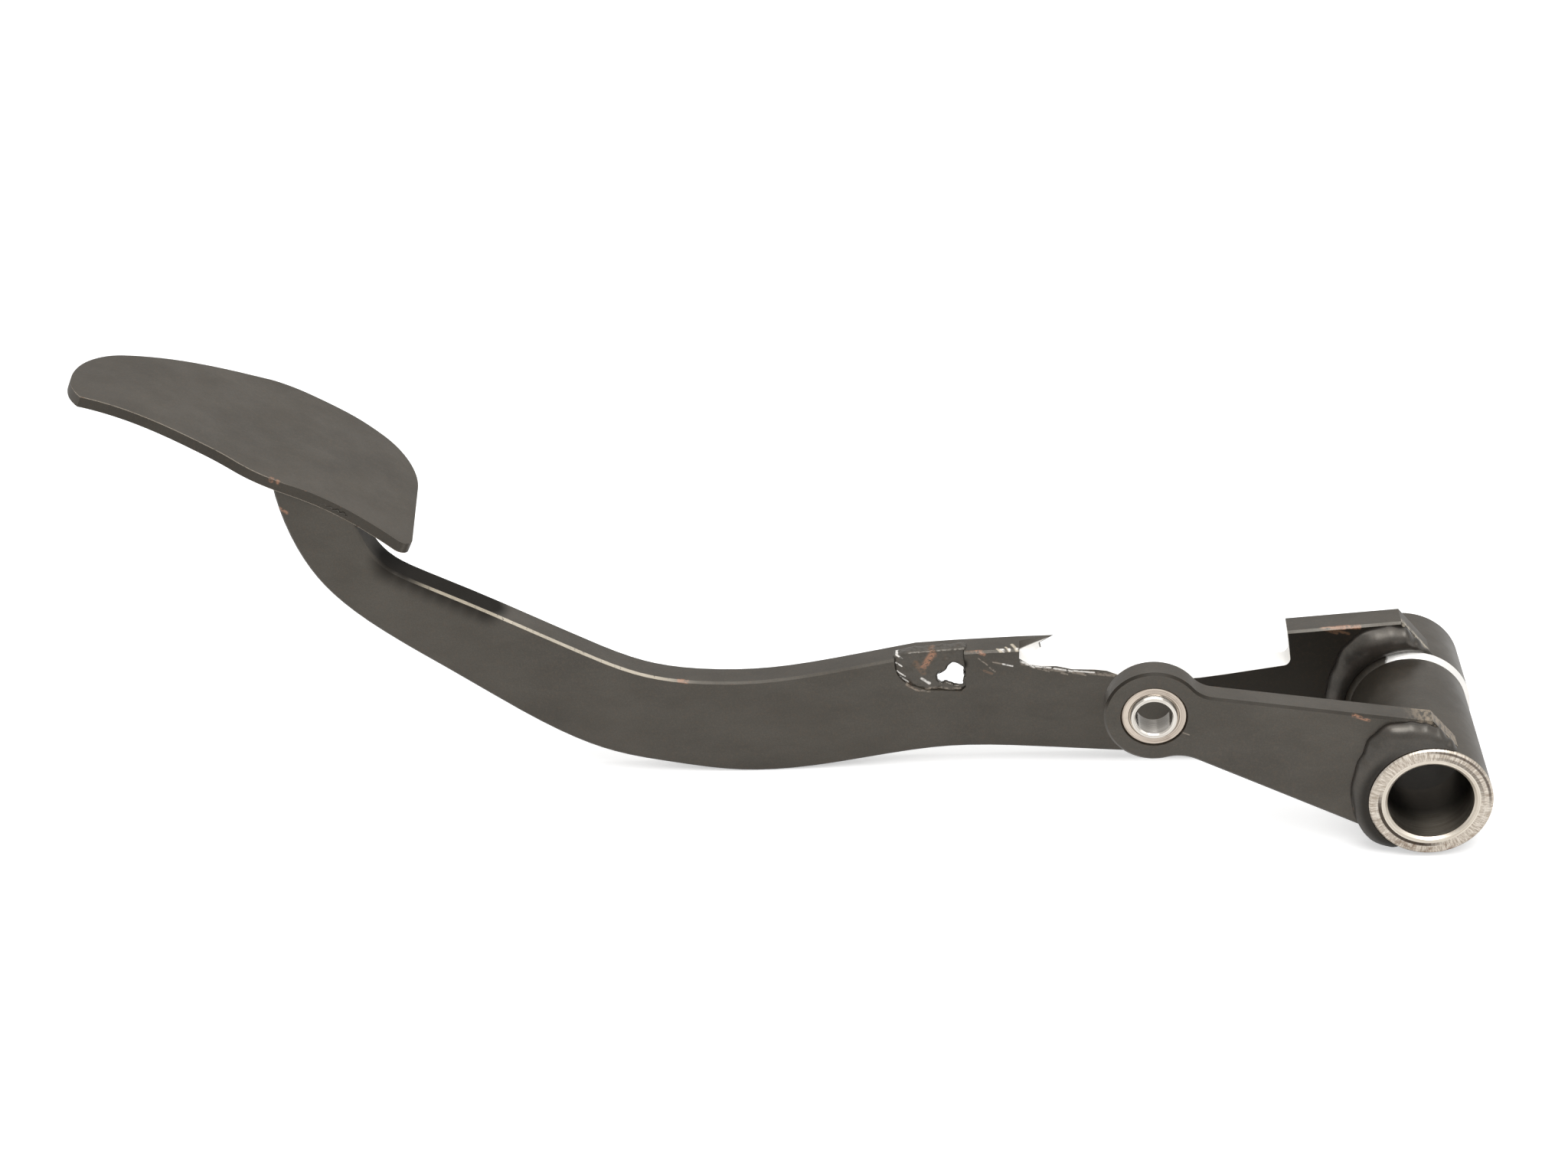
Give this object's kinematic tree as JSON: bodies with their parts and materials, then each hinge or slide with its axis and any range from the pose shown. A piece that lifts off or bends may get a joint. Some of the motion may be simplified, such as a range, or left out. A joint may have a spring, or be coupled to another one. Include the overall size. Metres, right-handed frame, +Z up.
{
  "type": "brake pedal",
  "caption": "Welded steel brake pedal: curved foot plate on a flat bent arm, bushed pivot hub and a side lever with a spherical bearing for the pushrod.",
  "frame": {"origin": "on the pivot axis, half way along the hub", "axes": "+X away from the foot plate, +Y along the pivot axis from the lever side to the arm side, +Z up as the pedal lies on its hub and on the belly of its arm"},
  "size_m": [0.489, 0.1317, 0.1612],
  "materials": {
    "black_paint": "semi-gloss black paint, lightly worn",
    "foot_paint": "semi-gloss black paint, rubbed by boots",
    "weld_metal": "painted weld bead, glossy",
    "patch_metal": "thinly painted weld patch",
    "bush_steel": "turned steel",
    "bearing_steel": "ground steel",
    "ball_steel": "polished steel"
  },
  "bodies": {
    "pedal": {"foot_plate": "foot_paint", "arm_plate": "black_paint", "arm_weld_patch": "patch_metal", "arm_boss_weld_front": "weld_metal", "arm_boss_weld_back": "weld_metal", "lever_tube_weld": "weld_metal", "foot_weld_back": "weld_metal", "foot_weld_front": "weld_metal", "front_hub_tube": "black_paint", "rear_hub_boss": "black_paint", "front_lever": "black_paint", "front_bush": "bush_steel", "rear_bush": "bush_steel", "bearing_outer_ring": "bearing_steel"},
    "ball": {"bearing_ball": "ball_steel"}
  },
  "joints": [
    {"name": "ball_swivel", "type": "hinge", "parent": "pedal", "child": "ball", "pos_m": [-0.0894, -0.038, 0.0326], "axis": [1, 0, 0], "range_deg": [-10, 10]}
  ]
}
